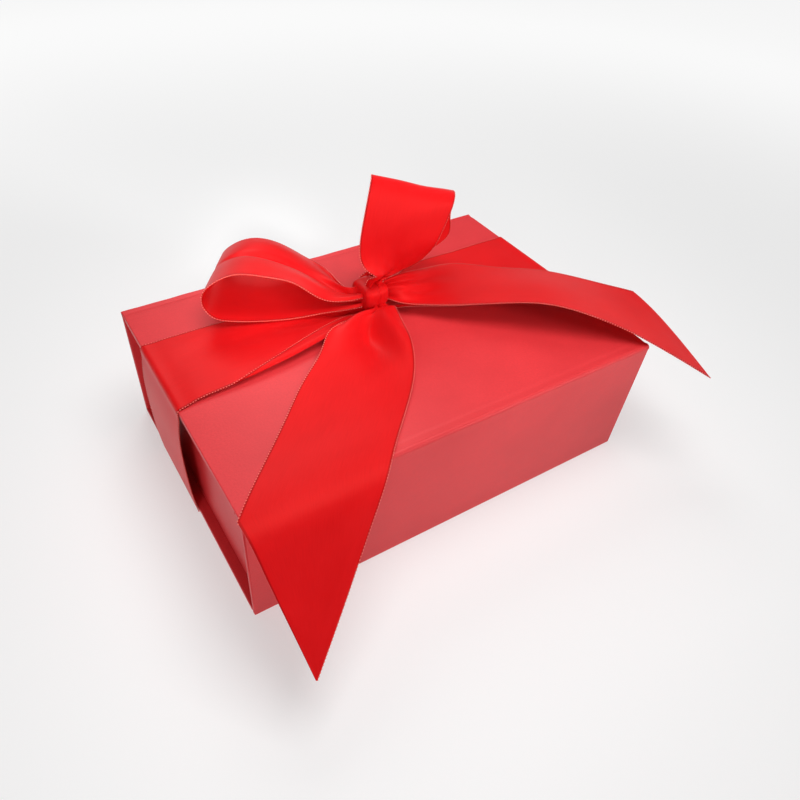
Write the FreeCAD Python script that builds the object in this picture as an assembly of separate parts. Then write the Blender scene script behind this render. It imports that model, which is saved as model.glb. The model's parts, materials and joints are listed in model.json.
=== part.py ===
"""A book-style rigid gift box tied lengthwise with a satin ribbon and a bow.

Frame: X along the long side, -Y towards the closing flap, Z up. The origin is under the middle of the box,
on the surface that the box stands on. Every size is in millimetres.
"""

import FreeCAD, Part
import math
import os

# The case: overall sizes and its sheet materials
box_length = 220.0  # X, over the ends of the lid
box_width = 150.0  # Y, over the flap and the spine
box_height = 70.0  # Z, from the underside of the base to the top of the lid
board = 2.0  # greyboard of the case panels
paper = 0.25  # wrapping and lining paper
turn_in = 3.0  # margin of wrapping paper that shows round a lining
hinge_band = 6.5  # bare paper between the lid board and the outer corner of the box
fold_gap = 0.1  # room for a fold under the hinge paper
flap_gap = 0.3  # between the closed flap and the tray
rim_gap = 0.3  # between the tray's rim and the closed lid

# The tray that is glued into the case
tray_board = 2.0  # greyboard of the tray
end_recess = 5.0  # the tray's ends stand back from the ends of the lid
tape = 0.15  # corner tape under the tray's wrapping
tape_leg = 12.0  # width of the tape on each side of a corner

# The closing magnets, one pair in the flap and one in the tray's front wall
magnet_diameter = 10.0
magnet_thick = 1.2
magnet_fit = 0.1  # radial room in its pocket
magnet_spacing = 130.0  # X distance between the two
magnet_height = 46.0  # above the underside of the base

# The ribbon and where it runs
ribbon_width = 50.0
ribbon_thick = 0.4
band_y = 16.5  # middle of the band, towards the spine from the middle of the box
ribbon_gap = 0.3  # the ribbon stands off the box by this
drop_bulge = 2.0  # how far the end drops bow outwards
gathered_thick = 2.4  # the ribbon where it is pleated into the knot
gathered_width = 10.0
band_pinch = 14.0  # width of the band under the knot

# The knot, on the band
knot_x = 2.0
knot_length = 13.0  # X
knot_depth = 16.0  # Y
knot_height = 13.8
knot_round = 3.5
knot_seat = 0.2  # from the knot to the ribbon that leaves it
root_length = 2.0  # pleated ribbon leaves the knot squarely for this far

# Places worked out from the sizes above
half_length = box_length / 2
half_width = box_width / 2
base_z = ribbon_thick
top_z = base_z + box_height
lid_reach = half_width - hinge_band
lid_under = top_z - 2 * paper - board
panel_top = top_z - paper - fold_gap
panel_inner = half_width - paper - board
flap_inner = panel_inner - paper
tray_front = flap_inner - flap_gap
tray_end = half_length - end_recess
tray_floor_z = base_z + paper + board
rim_z = lid_under - rim_gap
wall_out = paper + tape
band_front = band_y - ribbon_width / 2
band_back = band_y + ribbon_width / 2
knot_seat_z = ribbon_gap + gathered_thick + knot_seat


def block(x, y, z):
    """A box from three (low, high) pairs."""
    corner = FreeCAD.Vector(x[0], y[0], z[0])
    return Part.makeBox(x[1] - x[0], y[1] - y[0], z[1] - z[0], corner)


def both(half):
    return (-half, half)


def disc_y(x, y_low, thick, z, radius):
    """A disc on an axis along Y."""
    return Part.makeCylinder(radius, thick, FreeCAD.Vector(x, y_low, z), FreeCAD.Vector(0, 1, 0))


def magnet_places():
    height = base_z + magnet_height
    return [(-magnet_spacing / 2, height), (magnet_spacing / 2, height)]


# The bow is set out from the knot's seat on the lid
knot = FreeCAD.Vector(knot_x, band_y, top_z)


def strip(stations):
    """A ribbon solid through stations of (centre, direction across, width, thickness).

    Its four long edges are smooth curves through the corners of the stations, ruled from one to the next.
    """
    centres = [station[0] for station in stations]
    travelled = [0.0]
    for start, finish in zip(centres, centres[1:]):
        travelled.append(travelled[-1] + start.distanceToPoint(finish))
    sections = []
    for index, (centre, across, width, thick) in enumerate(stations):
        ahead = centres[min(index + 1, len(centres) - 1)]
        behind = centres[max(index - 1, 0)]
        side = FreeCAD.Vector(across).normalize()
        normal = (ahead - behind).cross(side).normalize()
        out = side * (width / 2)
        lift = normal * (thick / 2)
        sections.append([centre - out - lift, centre + out - lift, centre + out + lift, centre - out + lift])
    edges = []
    for corner in zip(*sections):
        curve = Part.BSplineCurve()
        curve.interpolate(Points=list(corner), Parameters=travelled)
        edges.append(curve.toShape())
    faces = [Part.makeRuledSurface(edges[i], edges[(i + 1) % 4], 1) for i in range(4)]
    for section in (sections[0], sections[-1]):
        faces.append(Part.Face(Part.makePolygon(section + section[:1])))
    shell = Part.makeShell(faces)
    shell.sewShape()
    solid = Part.makeSolid(shell)
    return solid if solid.Volume > 0 else solid.reversed()


def root(point, leaving, across):
    """Two stations where pleated ribbon leaves the knot squarely."""
    return [
        (point, across, gathered_width, gathered_thick),
        (point + leaving * root_length, across, gathered_width, gathered_thick),
    ]


def tilted(across, degrees):
    """A level direction, tilted so that its far end rises by that angle."""
    angle = math.radians(degrees)
    level = FreeCAD.Vector(across).normalize()
    return level * math.cos(angle) + FreeCAD.Vector(0, 0, math.sin(angle))


def base_panel():
    """The bottom board of the case and the paper round it, which also runs under the spine."""
    z_low = base_z + paper
    z_high = z_low + board
    core = block(both(half_length - paper), (-tray_front + paper, panel_inner), (z_low, z_high))
    sheet = block(both(half_length), (-tray_front, half_width), (base_z, z_low))
    edge = block(both(half_length), (-tray_front, panel_inner), (z_low, z_high + paper)).cut(core)
    hidden = block(both(tray_end), (-half_width, half_width), (z_high, z_high + 2 * paper))
    return core, sheet.fuse(edge.cut(hidden)).removeSplitter()


def spine_panel():
    """The back board, which the tray is glued to, and its paper."""
    z = (base_z + paper, panel_top)
    core = block(both(half_length - paper), (panel_inner, panel_inner + board), z)
    jacket = block(both(half_length), (panel_inner - paper, half_width), z).cut(core)
    glued = block(both(tray_end), (panel_inner - 2 * paper, panel_inner), (0, 2 * top_z))
    low = block(both(2 * half_length), (panel_inner - 2 * paper, panel_inner), (0, tray_floor_z + paper))
    return core, jacket.cut(glued).cut(low).removeSplitter()


def lid_panel():
    """The lid board, the paper over it with its two hinge bands, and the lining under it."""
    z = (lid_under + paper, top_z - paper)
    core = block(both(half_length - paper), both(lid_reach), z)
    jacket = block(both(half_length), both(lid_reach), (lid_under, top_z)).cut(core)
    lined_x = both(half_length - paper - turn_in)
    jacket = jacket.cut(block(lined_x, both(half_width), (lid_under - paper, lid_under + paper)))
    lining = block(lined_x, both(lid_reach), (lid_under, lid_under + paper))
    for side in (-1, 1):
        edge = side * lid_reach
        corner = side * half_width
        jacket = jacket.fuse(block(both(half_length), sorted((edge, corner)), (top_z - paper, top_z)))
        riser = block(lined_x, sorted((edge, edge + side * paper)), (lid_under, top_z - paper))
        strap = block(lined_x, sorted((edge, side * flap_inner)), (top_z - 2 * paper, top_z - paper))
        lining = lining.fuse(riser).fuse(strap)
    return core, jacket.removeSplitter(), lining.removeSplitter()


def flap_panel():
    """The closing flap: its board with magnet pockets, the paper round it, its lining and its magnets."""
    z = (base_z + paper, panel_top)
    y = (-half_width + paper, -panel_inner)
    core = block(both(half_length - paper), y, z)
    jacket = block(both(half_length), (-half_width, -flap_inner), (base_z, panel_top)).cut(core)
    lined_x = both(half_length - paper - turn_in)
    lined_z = (base_z + paper + turn_in, panel_top)
    lining = block(lined_x, (-panel_inner, -flap_inner), lined_z)
    jacket = jacket.cut(lining)
    magnets = []
    for x, height in magnet_places():
        pocket = disc_y(x, -panel_inner - magnet_thick, magnet_thick, height, magnet_diameter / 2 + magnet_fit)
        core = core.cut(pocket)
        magnets.append(disc_y(x, -panel_inner - magnet_thick, magnet_thick, height, magnet_diameter / 2))
    return core, jacket, lining, Part.makeCompound(magnets)


def tray():
    """The tray's floor, four walls, corner tapes, magnets, wrapping and floor lining."""
    end = tray_end - wall_out
    front = -tray_front + wall_out
    back = panel_inner - wall_out
    inner_end = end - tray_board
    inner_front = front + tray_board
    inner_back = back - tray_board
    floor_top = tray_floor_z + tray_board
    wall_z = (floor_top, rim_z - paper)
    floor = block(both(end), (front, back), (tray_floor_z, floor_top))
    front_wall = block(both(end), (front, inner_front), wall_z)
    back_wall = block(both(end), (inner_back, back), wall_z)
    left_wall = block((-end, -inner_end), (inner_front, inner_back), wall_z)
    right_wall = block((inner_end, end), (inner_front, inner_back), wall_z)

    magnets = []
    for x, height in magnet_places():
        front_wall = front_wall.cut(disc_y(x, front, magnet_thick, height, magnet_diameter / 2 + magnet_fit))
        magnets.append(disc_y(x, front, magnet_thick, height, magnet_diameter / 2))

    body = block(both(end), (front, back), wall_z)
    around = block(both(end + tape), (front - tape, back + tape), wall_z).cut(body)
    tapes = []
    for x in (-end, end):
        for y in (front, back):
            reach_x = sorted((x - math.copysign(tape_leg, x), x + math.copysign(tape, x)))
            reach_y = sorted((y - math.copysign(tape_leg, y), y + math.copysign(tape, y)))
            tapes.append(around.common(block(reach_x, reach_y, wall_z)).Solids[0])

    inside_x = both(inner_end - paper)
    inside_y = (inner_front + paper, inner_back - paper)
    skin = block(both(tray_end), (-tray_front, panel_inner), (tray_floor_z, rim_z))
    skin = skin.cut(block(both(end + tape), (front - tape, back + tape), (tray_floor_z, rim_z - paper)))
    skin = skin.cut(block(inside_x, inside_y, (tray_floor_z, rim_z)))
    inner_skin = block(both(inner_end), (inner_front, inner_back), wall_z)
    inner_skin = inner_skin.cut(block(inside_x, inside_y, wall_z))
    lining = block(inside_x, inside_y, (floor_top, floor_top + paper))
    return {
        "tray_floor": floor,
        "tray_front_wall": front_wall,
        "tray_back_wall": back_wall,
        "tray_left_wall": left_wall,
        "tray_right_wall": right_wall,
        "tray_corner_tapes": Part.makeCompound(tapes),
        "tray_magnets": Part.makeCompound(magnets),
        "tray_wrap": skin.fuse(inner_skin).removeSplitter(),
        "tray_floor_lining": lining,
    }


def ribbon_drop(side):
    """The ribbon down one end of the box, bowed outwards between the lid and the base."""
    near = half_length + ribbon_gap
    foot = base_z / 2
    head = top_z + ribbon_gap
    middle = (foot + head) / 2

    def bow(offset):
        points = [(near + offset, foot), (near + offset + drop_bulge, middle), (near + offset, head)]
        return [FreeCAD.Vector(side * x, band_front, z) for x, z in points]

    inner = bow(0)
    outer = bow(ribbon_thick)
    edges = [
        Part.Arc(*inner).toShape(),
        Part.makeLine(inner[2], outer[2]),
        Part.Arc(*outer).toShape(),
        Part.makeLine(outer[0], inner[0]),
    ]
    profile = Part.Face(Part.Wire(Part.__sortEdges__(edges)))
    return profile.extrude(FreeCAD.Vector(0, ribbon_width, 0))


def ribbon_band():
    """The ribbon along the lid: flat at the ends, with its front margin lifting as it is drawn into the knot."""
    end = half_length + ribbon_gap + ribbon_thick
    flat = top_z + ribbon_gap + ribbon_thick / 2
    under_knot = top_z + ribbon_gap + gathered_thick / 2
    back_full = band_back - 0.5
    rows = [
        (-end, band_front, band_back, flat, flat, ribbon_thick),
        (-end + 8, band_front, band_back, flat, flat, ribbon_thick),
        (-end + 16, band_front, band_back, flat, flat, ribbon_thick),
        (knot_x - 84, band_front + 2, band_back, flat + 0.8, flat, ribbon_thick),
        (knot_x - 70, band_front + 4, back_full, flat + 2.2, flat, ribbon_thick),
        (knot_x - 46, band_front + 8, back_full - 2, flat + 3.2, flat + 0.2, ribbon_thick),
        (knot_x - 26, band_y - 12, band_y + 14, flat + 2.6, flat + 0.8, 2 * ribbon_thick),
        (knot_x - 8, band_y - band_pinch / 2, band_y + band_pinch / 2, under_knot, under_knot, gathered_thick),
        (knot_x + 8, band_y - band_pinch / 2, band_y + band_pinch / 2, under_knot, under_knot, gathered_thick),
        (knot_x + 28, band_y - 14, band_y + 18, flat + 0.6, flat + 0.6, 2 * ribbon_thick),
        (knot_x + 52, band_front + 2, band_back, flat + 0.2, flat + 0.2, ribbon_thick),
        (knot_x + 70, band_front, band_back, flat, flat, ribbon_thick),
        (end - 16, band_front, band_back, flat, flat, ribbon_thick),
        (end, band_front, band_back, flat, flat, ribbon_thick),
    ]
    stations = []
    for x, y_front, y_back, z_front, z_back, thick in rows:
        front = FreeCAD.Vector(x, y_front, z_front)
        back = FreeCAD.Vector(x, y_back, z_back)
        stations.append(((front + back) / 2, back - front, front.distanceToPoint(back), thick))
    return strip(stations)


def ribbon_under():
    return block(both(half_length), (band_front, band_back), (0, ribbon_thick))


def ribbon_knot():
    """The wrap of ribbon that holds the bow together, resting on the gathered band."""
    low = top_z + knot_seat_z
    x = (knot_x - knot_length / 2, knot_x + knot_length / 2)
    body = block(x, (band_y - knot_depth / 2, band_y + knot_depth / 2), (low, low + knot_height))
    return body.makeFillet(knot_round, body.Edges)


loop_heading = 29.0  # degrees the left loop points back from -X


def ribbon_left_loop():
    """The loop that lies to the left and back, on the lid, with its mouth to the front."""
    angle = math.radians(loop_heading)
    along = FreeCAD.Vector(-math.cos(angle), math.sin(angle), 0)
    across = FreeCAD.Vector(math.sin(angle), math.cos(angle), 0)
    face = -knot_length / 2 - knot_seat
    rows = [  # distance out, offset across, height, width, tilt, thickness
        (22, 4, 11.5, 0.6, -6, 2),
        (36, 10, 17, 0.92, -8, 1),
        (50, 9, 24, 1, -8, 1),
        (63, 8, 26.5, 1, -8, 1),
        (74, 7, 23, 1, -8, 1),
        (81, 6, 14.5, 1, -7, 1),
        (78, 6, 7.5, 1, -4, 1),
        (68, 7, 4.6, 1, -1, 1),
        (52, 9, 3.8, 1, 0, 1),
        (35, 10, 4, 0.92, 0, 1),
        (21, 4, 5.6, 0.6, -2, 2),
    ]
    stations = []
    for out, offset, height, share, tilt, layers in rows:
        centre = knot + along * out + across * offset + FreeCAD.Vector(0, 0, height)
        stations.append((centre, tilted(across, tilt), share * ribbon_width, layers * ribbon_thick))
    leaving = FreeCAD.Vector(-1, 0, 0)
    level = FreeCAD.Vector(0, 1, 0)
    upper = root(knot + FreeCAD.Vector(face, 1, 12.5), leaving, level)
    lower = root(knot + FreeCAD.Vector(face, 1, 7.2), leaving, level)
    return strip(upper + stations + lower[::-1])


def ribbon_top_loop():
    """The loop that stands up from the knot, leaning to the right, with its face to the front."""
    along_x = FreeCAD.Vector(1, 0, 0)
    crown = knot_seat_z + knot_height + knot_seat
    rows = [  # centre from the knot, width, tilt, thickness
        (13, -4, 22, 0.6, 0, 2),
        (13, -6, 31, 0.8, -2, 1),
        (16, -6, 44, 1, -3, 1),
        (19, -4, 56, 1, -9, 1),
        (23, 1, 62, 1, -18, 1),
        (27, 8, 59, 1, -20, 1),
        (30, 14, 47, 1, -14, 1),
        (31, 16, 33, 0.96, -8, 1),
        (26, 15, 21, 0.76, -4, 1),
        (12, 13, 14, 0.44, 0, 2),
    ]
    stations = []
    for x, y, z, share, tilt, layers in rows:
        centre = knot + FreeCAD.Vector(x, y, z)
        stations.append((centre, tilted(along_x, tilt), share * ribbon_width, layers * ribbon_thick))
    front = root(knot + FreeCAD.Vector(1, -3, crown), FreeCAD.Vector(0, 0, 1), along_x)
    behind = knot + FreeCAD.Vector(1, knot_depth / 2 + knot_seat, 11)
    back = root(behind, FreeCAD.Vector(0, 1, 0), along_x)
    return strip(front + stations + back[::-1])


tail_slope = 0.94  # X that the front tail runs to the left for each millimetre towards the front
tail_tip = 5.3  # X from the front tail's left selvedge, where it leaves the lid, to the tip of its cut


def front_tail_edge():
    """The (left, right) X of the front tail where it crosses the front edge of the lid."""
    turn_y = band_y - 69
    middle = knot_x - 58 - tail_slope * (turn_y + half_width)
    wide = ribbon_width * math.hypot(1, tail_slope)
    return middle - wide / 2, middle + wide / 2


def ribbon_front_tail():
    """The tail that lies over the lid to its front left corner. Its rulings run along X, as the edge does."""
    along_x = FreeCAD.Vector(1, 0, 0)
    wide = ribbon_width * math.hypot(1, tail_slope)
    rows = [  # centre from the knot, width along X, thickness
        (-11, -14, 8, 0.47, 2),
        (-21, -25, 7.4, 0.66, 1),
        (-30, -37, 6, 0.82, 1),
        (-42, -52, 3.4, 0.95, 1),
        (-58, -69, 1.8, 1, 1),
    ]
    left, right = front_tail_edge()
    edge = FreeCAD.Vector((left + right) / 2, -half_width, top_z + 2 * ribbon_gap + ribbon_thick / 2)
    start = knot + FreeCAD.Vector(-0.5, -knot_depth / 2 - knot_seat, 6)
    stations = root(start, FreeCAD.Vector(0, -1, 0), along_x)
    for x, y, z, share, layers in rows:
        stations.append((knot + FreeCAD.Vector(x, y, z), along_x, share * wide, layers * ribbon_thick))
    stations.append((edge, along_x, right - left, ribbon_thick))
    return strip(stations)


def ribbon_front_tail_end():
    """The slant-cut end of the front tail, bent down past the edge of the lid."""
    left, right = front_tail_edge()
    tip = left + tail_tip
    lift = 2 * ribbon_gap + ribbon_thick / 2
    rows = [  # distance out from the lid, fall, share of the way to the tip
        (ribbon_gap, 0, 0),
        (6, 1.4, 0.09),
        (18, 11, 0.32),
        (34, 25.5, 0.64),
        (51, 41, 0.99),
    ]
    stations = []
    for out, fall, share in rows:
        low_x = left + (tip - left) * share
        high_x = right + (tip - right) * share
        centre = FreeCAD.Vector((low_x + high_x) / 2, -half_width - out, top_z + lift - fall)
        stations.append((centre, FreeCAD.Vector(1, 0, 0), high_x - low_x, ribbon_thick))
    return strip(stations)


tail_cut = 38.0  # how far the right tail's front selvedge is longer than its back one
tail_past = 34.0  # how far its tip is past the corner of the lid


def ribbon_right_tail():
    """The tail that arches over the lid to its front right corner and hangs past it, with a slanted cut."""
    corner = FreeCAD.Vector(half_length, -half_width, top_z)
    reach = corner - knot
    along = FreeCAD.Vector(reach).normalize()
    across = FreeCAD.Vector(-along.y, along.x, 0)
    length = reach.Length
    middle = ribbon_width / 2 - 1.5
    rows = [  # distance out, height, tilt
        (length - 104, 5.8, -8),
        (length - 80, 8.9, -11),
        (length - 55, 11.3, -13),
        (length - 30, 8.2, -11),
        (length - 14, 4.6, -8),
        (length, 0.4, -4),
        (length + tail_past, -14, 0),
    ]
    start = knot + FreeCAD.Vector(knot_length / 2 + knot_seat, 0, 12)
    stations = root(start, FreeCAD.Vector(1, 0, 0), FreeCAD.Vector(0, 1, 0))
    fan = knot + along * 18 + across * 10 + FreeCAD.Vector(0, 0, 8)
    stations.append((fan, tilted(across, -3), 0.6 * ribbon_width, 2 * ribbon_thick))
    for out, height, tilt in rows:
        centre = knot + along * out + across * middle + FreeCAD.Vector(0, 0, height)
        stations.append((centre, tilted(across, tilt), ribbon_width, ribbon_thick))

    def beside(out, offset):
        return knot + along * out + across * (middle + offset) - FreeCAD.Vector(0, 0, box_height)

    end = length + tail_past
    waste = [
        beside(end, 1 - ribbon_width / 2),
        beside(end - tail_cut, ribbon_width / 2),
        beside(end - tail_cut, ribbon_width),
        beside(end + tail_cut, ribbon_width),
        beside(end + tail_cut, 1 - ribbon_width / 2),
    ]
    waste = Part.Face(Part.makePolygon(waste + waste[:1])).extrude(FreeCAD.Vector(0, 0, 2 * box_height))
    return strip(stations).cut(waste)


def all_parts():
    parts = tray()
    parts["base_board"], parts["base_wrap"] = base_panel()
    parts["spine_board"], parts["spine_wrap"] = spine_panel()
    parts["lid_board"], parts["lid_wrap"], parts["lid_lining"] = lid_panel()
    parts["flap_board"], parts["flap_wrap"], parts["flap_lining"], parts["flap_magnets"] = flap_panel()
    parts["ribbon_band"] = ribbon_band()
    parts["ribbon_left_drop"] = ribbon_drop(-1)
    parts["ribbon_right_drop"] = ribbon_drop(1)
    parts["ribbon_under"] = ribbon_under()
    parts["ribbon_knot"] = ribbon_knot()
    parts["ribbon_left_loop"] = ribbon_left_loop()
    parts["ribbon_top_loop"] = ribbon_top_loop()
    parts["ribbon_front_tail"] = ribbon_front_tail()
    parts["ribbon_front_tail_end"] = ribbon_front_tail_end()
    parts["ribbon_right_tail"] = ribbon_right_tail()
    return parts


os.makedirs("parts", exist_ok=True)
for name, shape in all_parts().items():
    shape.exportStep(os.path.join("parts", name + ".step"))
    print(f"{name}: {len(shape.Solids)} solid, {shape.Volume:.0f} mm3, valid {shape.isValid()}")
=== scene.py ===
# %% [markdown]
# # A gift box tied with a satin ribbon
#
# The box is a rigid case of greyboard, wrapped in red embossed paper, that opens like a book. A wide
# satin ribbon runs round it lengthwise and is tied in a bow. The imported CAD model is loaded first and
# stays where it is. Each cell below then dresses one part of it: the paper, the folds of the hinges, and
# every run of the ribbon. Sizes are in millimetres until a mesh is made, and a mesh is in metres.

# %% The frame
import bpy
import json
import math
import numpy as np
from mathutils import Matrix, Vector


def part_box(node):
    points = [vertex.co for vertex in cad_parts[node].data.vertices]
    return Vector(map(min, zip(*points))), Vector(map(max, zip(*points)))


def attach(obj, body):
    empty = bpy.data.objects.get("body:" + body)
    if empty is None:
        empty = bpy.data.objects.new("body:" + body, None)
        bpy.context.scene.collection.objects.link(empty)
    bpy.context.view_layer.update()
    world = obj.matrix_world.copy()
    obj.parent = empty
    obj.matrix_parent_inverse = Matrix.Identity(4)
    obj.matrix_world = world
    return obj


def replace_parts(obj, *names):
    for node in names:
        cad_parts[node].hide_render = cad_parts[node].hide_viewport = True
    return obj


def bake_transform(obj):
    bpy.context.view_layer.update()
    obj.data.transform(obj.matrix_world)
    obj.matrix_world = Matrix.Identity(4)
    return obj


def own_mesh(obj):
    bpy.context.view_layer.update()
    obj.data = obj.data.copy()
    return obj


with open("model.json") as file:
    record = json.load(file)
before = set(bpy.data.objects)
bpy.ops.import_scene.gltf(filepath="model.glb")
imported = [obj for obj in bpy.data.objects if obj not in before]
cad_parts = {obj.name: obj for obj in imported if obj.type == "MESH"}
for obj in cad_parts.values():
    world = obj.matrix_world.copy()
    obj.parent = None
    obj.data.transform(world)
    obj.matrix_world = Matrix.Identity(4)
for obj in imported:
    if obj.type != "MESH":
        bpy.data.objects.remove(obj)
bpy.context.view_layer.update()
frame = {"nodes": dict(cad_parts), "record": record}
mm = 0.001


def show(thing):
    """Puts an object into the scene."""
    bpy.context.scene.collection.objects.link(thing)


# %% [markdown]
# ## The camera
#
# The camera stands where the photographer stood: to the left of the box's front, looking down at it. It
# was worked out from the corners of the box, so it is written as a place, three angles and a focal
# length. The optical axis doesn't pass through the middle of the picture, and two shifts say by how much.

# %% The camera
picture = 800  # pixels, both ways
focal_pixels = 665.5
axis_pixel = (358.2, 420.1)  # where the optical axis meets the picture
azimuth, elevation, roll = (math.radians(angle) for angle in (-32.8, 45.18, 2.89))
eye = Vector((-154.0, -220.0, 274.0)) * mm

backwards = Vector((math.sin(azimuth) * math.cos(elevation), -math.cos(azimuth) * math.cos(elevation),
                    math.sin(elevation)))
camera = bpy.data.objects.new("camera", bpy.data.cameras.new("camera"))
show(camera)
camera.data.sensor_width = 36
camera.data.lens = focal_pixels / picture * camera.data.sensor_width
camera.data.shift_x = (picture / 2 - axis_pixel[0]) / picture
camera.data.shift_y = (axis_pixel[1] - picture / 2) / picture
camera.data.clip_start = 0.01
turn = (-backwards).to_track_quat("-Z", "Y").to_matrix()
camera.matrix_world = Matrix.Translation(eye) @ (turn @ Matrix.Rotation(roll, 3, "Z")).to_4x4()
bpy.context.scene.camera = camera
print("lens in mm:", round(camera.data.lens, 2))

# %% [markdown]
# ## The studio
#
# The photo has a white ground and soft light. A large panel above the box lights the lid. A second one,
# behind, gives the paper its hazy sheen and throws the bow's soft shadows towards the camera. Soft spots
# brighten the face of the bow, the inside of its left loop and the near end, and a white surround fills
# the sides. A picture of a real studio could light the scene too, but single lamps can be hung just where
# the highlights need them.

# %% The studio
def hang_lamp(light, place, aim):
    """Hangs a lamp at a place in metres, unseen by the camera, and turns it to its aim."""
    lamp = bpy.data.objects.new(light.name, light)
    lamp.location = place
    lamp.visible_camera = False
    lamp.rotation_mode = "QUATERNION"
    lamp.rotation_quaternion = (Vector(aim) - Vector(place)).to_track_quat("-Z", "Y")
    show(lamp)


def panel_light(name, place, aim, size, power):
    """A square panel, with its size in metres and its power in watts."""
    light = bpy.data.lights.new(name, "AREA")
    light.shape = "SQUARE"
    light.size = size
    light.energy = power
    hang_lamp(light, place, aim)


def spot_light(name, place, aim, radius, cone, power):
    """A spot with a soft rim: the lamp's radius in metres, its cone in degrees, its power in watts."""
    light = bpy.data.lights.new(name, "SPOT")
    light.energy = power
    light.shadow_soft_size = radius
    light.spot_size = math.radians(cone)
    light.spot_blend = 1
    hang_lamp(light, place, aim)


panel_light("key_panel", (0.1, 0.48, 0.62), (0, 0, 0.07), 0.32, 1.4)
panel_light("top_panel", (0.03, -0.08, 0.52), (0, -0.03, 0.07), 0.3, 1.65)
spot_light("bow_light", (0.3, -0.55, 0.3), (0.025, 0.02, 0.108), 0.1, 18, 15)
spot_light("loop_light", (-0.2, -0.32, 0.3), (-0.045, 0.045, 0.082), 0.03, 11, 9)
spot_light("end_light", (-0.42, -0.44, 0.28), (-0.075, -0.07, 0.055), 0.15, 23, 11)

surround = bpy.data.worlds.new("white_surround")
bpy.context.scene.world = surround
surround.use_nodes = True
backdrop = surround.node_tree.nodes["Background"]
backdrop.inputs["Color"].default_value = (1, 1, 1, 1)
backdrop.inputs["Strength"].default_value = 0.18
bpy.context.scene.view_settings.view_transform = "Standard"
print("lamps:", sorted(light.name for light in bpy.data.lights))

# %% [markdown]
# ## Materials
#
# Every finish is a node tree on a Principled shader. Colours are written as hex values, as a printer
# would write them, and one function turns them to the linear values that Blender mixes. Pattern sizes are
# real sizes.

# %% Tools for materials
def linear(code):
    """The linear colour of an sRGB hex value."""
    channels = [int(code[i:i + 2], 16) / 255 for i in (1, 3, 5)]
    return [c / 12.92 if c <= 0.04045 else ((c + 0.055) / 1.055) ** 2.4 for c in channels] + [1.0]


def fill(tree, node, inputs):
    """Gives each named input of a node a value, or a socket to link from."""
    for name, value in inputs.items():
        if isinstance(value, bpy.types.NodeSocket):
            tree.links.new(value, node.inputs[name])
        else:
            node.inputs[name].default_value = value
    return node


def add(tree, kind, inputs=None, **settings):
    """Adds a node with its settings and its inputs."""
    node = tree.nodes.new(kind)
    for name, value in settings.items():
        setattr(node, name, value)
    return fill(tree, node, inputs or {})


def finish_of(name):
    """A new material, its tree, and the Principled shader in it."""
    material = bpy.data.materials.new(name)
    material.use_nodes = True
    return material, material.node_tree, material.node_tree.nodes["Principled BSDF"]


# %% [markdown]
# ### Embossed wrapping paper
#
# Dyed art paper, calendered between rollers that press a fine irregular grain into it and leave a low
# satin sheen. The grain is about 0.9 mm. Larger, faint clouds of colour come from the dye and from the
# board under it. A scanned sheet of paper would repeat over the lid. Noise never does, so it makes both.

# %% Embossed wrapping paper
cloud_size = 30 * mm
grain_size = 0.9 * mm
grain_depth = 0.25 * mm


def embossed_paper(name, light_hex, dark_hex, roughness):
    """Paper with clouds between two tones, and a grain that changes its sheen and its relief."""
    material, tree, shader = finish_of(name)
    place = add(tree, "ShaderNodeTexCoord")
    clouds = add(tree, "ShaderNodeTexNoise", {"Vector": place.outputs["Object"], "Scale": 1 / cloud_size,
                                              "Detail": 3.0})
    grain = add(tree, "ShaderNodeTexNoise", {"Vector": place.outputs["Object"], "Scale": 1 / grain_size,
                                             "Detail": 4.0, "Roughness": 0.6})
    tone = add(tree, "ShaderNodeMath", {0: clouds.outputs["Fac"], 1: grain.outputs["Fac"]},
               operation="MULTIPLY")
    shades = add(tree, "ShaderNodeValToRGB", {"Fac": tone.outputs[0]})
    for stop, position, code in zip(shades.color_ramp.elements, (0.08, 0.45), (dark_hex, light_hex)):
        stop.position = position
        stop.color = linear(code)
    gloss = add(tree, "ShaderNodeMapRange", {"Value": grain.outputs["Fac"], "To Min": roughness - 0.06,
                                             "To Max": roughness + 0.08})
    relief = add(tree, "ShaderNodeBump", {"Height": grain.outputs["Fac"], "Strength": 0.28,
                                          "Distance": grain_depth})
    fill(tree, shader, {"Base Color": shades.outputs["Color"], "Roughness": gloss.outputs["Result"],
                        "Normal": relief.outputs["Normal"], "IOR": 1.5, "Specular IOR Level": 0.4})
    return material


wrapping_paper = embossed_paper("embossed_wrapping_paper", "#E2353A", "#D22D32", 0.48)
lining_paper = embossed_paper("plain_lining_paper", "#D02C31", "#C0262B", 0.6)
print("papers:", wrapping_paper.name, lining_paper.name)

# %% [markdown]
# ### Satin ribbon
#
# Double-faced polyester satin. Its long floating warp threads lie side by side along the ribbon, which
# gives a smooth face with broad soft highlights. The threads are about 0.15 mm apart, too fine to show,
# so they are drawn 0.4 mm apart. The pattern follows the ribbon through its UV map, which holds metres
# across and along. A line of painted shade darkens the satin along each selvedge. The cloth is thin, so
# it lets red light through.

# %% Satin ribbon
ribbon_width = 50.0
thread_pitch = 0.4 * mm
thread_run = 9 * mm  # how far a thread floats before it dips
painted_edge_shade = (24.0, 24.5)  # mm from the middle, where the painted shade along each selvedge starts and where it is full


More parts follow.
